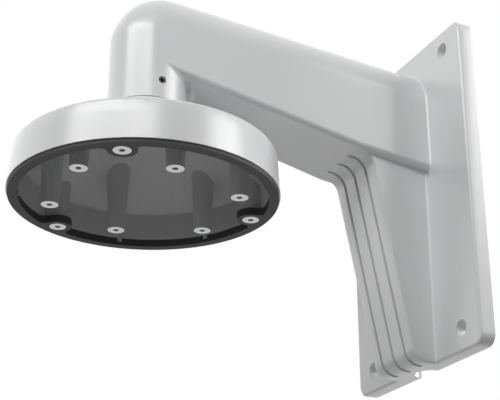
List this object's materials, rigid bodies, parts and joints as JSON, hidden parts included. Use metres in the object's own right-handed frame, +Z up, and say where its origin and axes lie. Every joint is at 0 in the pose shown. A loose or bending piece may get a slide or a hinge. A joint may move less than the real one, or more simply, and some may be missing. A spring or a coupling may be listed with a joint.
{
  "type": "camera wall bracket",
  "caption": "Wall bracket for a dome camera: a flat wall plate with a gusset, a hollow arm bent down to a round neck, and a round screw-on mounting cap that is open below.",
  "frame": {"origin": "centre of the wall plate's back face, which is also the centre of its four bolt holes", "axes": "+Y into the wall, square to the plate; +Z up; +X to the right seen from the room; the arm stands out along -Y"},
  "size_m": [0.1366, 0.2311, 0.1855],
  "materials": {
    "arm_paint": "satin white powder coat on cast aluminium",
    "cap_paint": "satin white powder coat on cast aluminium",
    "gasket_rubber": "matt black rubber",
    "seal_rubber": "matt black rubber",
    "screw_steel": "plain steel"
  },
  "bodies": {
    "root": {"wall_arm": "arm_paint", "mounting_cap": "cap_paint", "cap_gasket": "gasket_rubber", "neck_seal": "seal_rubber", "set_screw": "screw_steel"}
  },
  "joints": []
}
